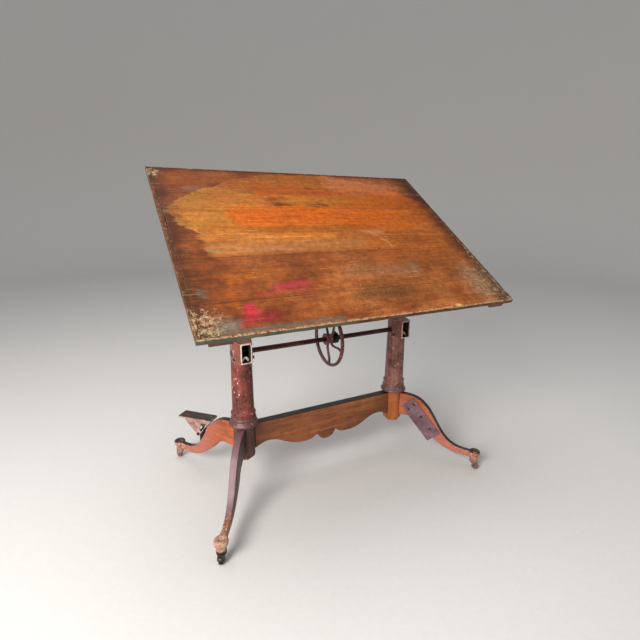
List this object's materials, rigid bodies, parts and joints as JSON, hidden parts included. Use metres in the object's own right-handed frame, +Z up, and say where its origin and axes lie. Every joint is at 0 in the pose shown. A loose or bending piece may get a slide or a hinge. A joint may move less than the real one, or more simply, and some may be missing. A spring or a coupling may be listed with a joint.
{
  "type": "drafting table",
  "caption": "Antique standing drafting table: tilting wooden board on rack-and-pinion iron pedestals with wooden cabriole legs, stretcher, handwheel and treadle.",
  "frame": {"origin": "on the floor, under the middle of the table's overall box", "axes": "+Z up, +X along the board's long side, -Y towards the drafter"},
  "size_m": [1.524, 0.9595, 1.564],
  "materials": {
    "board_varnish": "aged amber varnish over softwood, worn and paint-stained",
    "end_strip_wood": "dark worn hardwood edging",
    "batten_wood": "red-brown stain",
    "leg_wood": "orange-brown varnish, scuffed",
    "hub_wood": "orange-brown varnish",
    "stretcher_wood": "dark amber varnish",
    "column_iron": "worn oxide-red paint with chips",
    "wheel_iron": "worn mauve-brown paint",
    "plate_iron": "mauve-grey worn paint",
    "shaft_steel": "browned steel",
    "dark_iron": "dark oiled iron",
    "treadle_iron": "dark brown iron, worn",
    "caster_iron": "grey iron, worn bright on the tread",
    "pawl_metal": "pale worn metal"
  },
  "bodies": {
    "stand": {"left_column": "column_iron", "left_hub_block": "hub_wood", "left_tie_bolt": "dark_iron", "left_pawl_pin": "dark_iron", "left_inner_bush": "plate_iron", "left_outer_bush": "plate_iron", "front_left_leg": "leg_wood", "back_left_leg": "leg_wood", "front_left_caster_socket": "caster_iron", "back_left_caster_socket": "caster_iron", "right_column": "column_iron", "right_hub_block": "hub_wood", "right_tie_bolt": "dark_iron", "right_pawl_pin": "dark_iron", "right_inner_bush": "plate_iron", "right_outer_bush": "plate_iron", "front_right_leg": "leg_wood", "back_right_leg": "leg_wood", "front_right_caster_socket": "caster_iron", "back_right_caster_socket": "caster_iron", "stretcher": "stretcher_wood", "repair_plate": "plate_iron", "pedal_bracket": "treadle_iron", "pedal_pin": "dark_iron", "pedal_spring": "dark_iron"},
    "lift": {"left_rack": "dark_iron", "left_trunnion": "column_iron", "left_pivot_pin": "dark_iron", "right_rack": "dark_iron", "right_trunnion": "column_iron", "right_pivot_pin": "dark_iron"},
    "shaft": {"cross_shaft": "shaft_steel", "left_pinion": "dark_iron", "right_pinion": "dark_iron", "handwheel": "wheel_iron", "wheel_collar": "dark_iron"},
    "board": {"drawing_board": "board_varnish", "left_end_strip": "end_strip_wood", "right_end_strip": "end_strip_wood", "left_batten": "batten_wood", "right_batten": "batten_wood", "left_hinge_plate": "column_iron", "right_hinge_plate": "column_iron"},
    "left_clamp": {"left_clamp_knob": "dark_iron"},
    "right_clamp": {"right_clamp_knob": "dark_iron"},
    "left_dog": {"left_pawl": "pawl_metal"},
    "right_dog": {"right_pawl": "pawl_metal"},
    "treadle": {"foot_pedal": "treadle_iron"},
    "front_left_swivel": {"front_left_caster_fork": "caster_iron", "front_left_caster_axle": "caster_iron"},
    "front_left_roller": {"front_left_caster_wheel": "caster_iron"},
    "back_left_swivel": {"back_left_caster_fork": "caster_iron", "back_left_caster_axle": "caster_iron"},
    "back_left_roller": {"back_left_caster_wheel": "caster_iron"},
    "front_right_swivel": {"front_right_caster_fork": "caster_iron", "front_right_caster_axle": "caster_iron"},
    "front_right_roller": {"front_right_caster_wheel": "caster_iron"},
    "back_right_swivel": {"back_right_caster_fork": "caster_iron", "back_right_caster_axle": "caster_iron"},
    "back_right_roller": {"back_right_caster_wheel": "caster_iron"}
  },
  "joints": [
    {"name": "lift_slide", "type": "slide", "parent": "stand", "child": "lift", "axis": [0, 0, 1], "range_m": [-0.285, 0.02]},
    {"name": "shaft_turn", "type": "hinge", "parent": "stand", "child": "shaft", "pos_m": [0, 0.01598, 0.727], "axis": [1, 0, 0], "range_deg": [-745, 55]},
    {"name": "board_tilt", "type": "hinge", "parent": "lift", "child": "board", "pos_m": [0, 0.02498, 1.167], "axis": [1, 0, 0], "range_deg": [-34.5, 20.5]},
    {"name": "left_clamp_turn", "type": "hinge", "parent": "lift", "child": "left_clamp", "pos_m": [-0.457, 0.02498, 1.113], "axis": [-1, 0, 0], "range_deg": [0, 270]},
    {"name": "right_clamp_turn", "type": "hinge", "parent": "lift", "child": "right_clamp", "pos_m": [0.457, 0.02498, 1.113], "axis": [1, 0, 0], "range_deg": [0, 270]},
    {"name": "left_dog_rock", "type": "hinge", "parent": "stand", "child": "left_dog", "pos_m": [-0.457, -0.01302, 0.7035], "axis": [1, 0, 0], "range_deg": [-20, 2]},
    {"name": "right_dog_rock", "type": "hinge", "parent": "stand", "child": "right_dog", "pos_m": [0.457, -0.01302, 0.7035], "axis": [1, 0, 0], "range_deg": [-20, 2]},
    {"name": "treadle_rock", "type": "hinge", "parent": "stand", "child": "treadle", "pos_m": [-0.606, 0.28306, 0.226], "axis": [-0.7193, -0.6947, 0], "range_deg": [0, 10], "stiffness_Nm_per_rad": 8, "springref_deg": -8.59},
    {"name": "front_left_caster_swivel", "type": "hinge", "parent": "stand", "child": "front_left_swivel", "pos_m": [-0.702, -0.39937, 0.05], "axis": [0, 0, 1], "continuous": true},
    {"name": "front_left_caster_roll", "type": "hinge", "parent": "front_left_swivel", "child": "front_left_roller", "pos_m": [-0.707, -0.40803, 0.018], "axis": [0.866, -0.5, 0], "continuous": true},
    {"name": "back_left_caster_swivel", "type": "hinge", "parent": "stand", "child": "back_left_swivel", "pos_m": [-0.702, 0.44933, 0.05], "axis": [0, 0, 1], "continuous": true},
    {"name": "back_left_caster_roll", "type": "hinge", "parent": "back_left_swivel", "child": "back_left_roller", "pos_m": [-0.707, 0.45799, 0.018], "axis": [-0.866, -0.5, 0], "continuous": true},
    {"name": "front_right_caster_swivel", "type": "hinge", "parent": "stand", "child": "front_right_swivel", "pos_m": [0.702, -0.39937, 0.05], "axis": [0, 0, 1], "continuous": true},
    {"name": "front_right_caster_roll", "type": "hinge", "parent": "front_right_swivel", "child": "front_right_roller", "pos_m": [0.707, -0.40803, 0.018], "axis": [0.866, 0.5, 0], "continuous": true},
    {"name": "back_right_caster_swivel", "type": "hinge", "parent": "stand", "child": "back_right_swivel", "pos_m": [0.702, 0.44933, 0.05], "axis": [0, 0, 1], "continuous": true},
    {"name": "back_right_caster_roll", "type": "hinge", "parent": "back_right_swivel", "child": "back_right_roller", "pos_m": [0.707, 0.45799, 0.018], "axis": [-0.866, 0.5, 0], "continuous": true}
  ],
  "couplings": [
    {"joint": "shaft_turn", "follows": "lift_slide", "rad_per_m": 45.455}
  ]
}
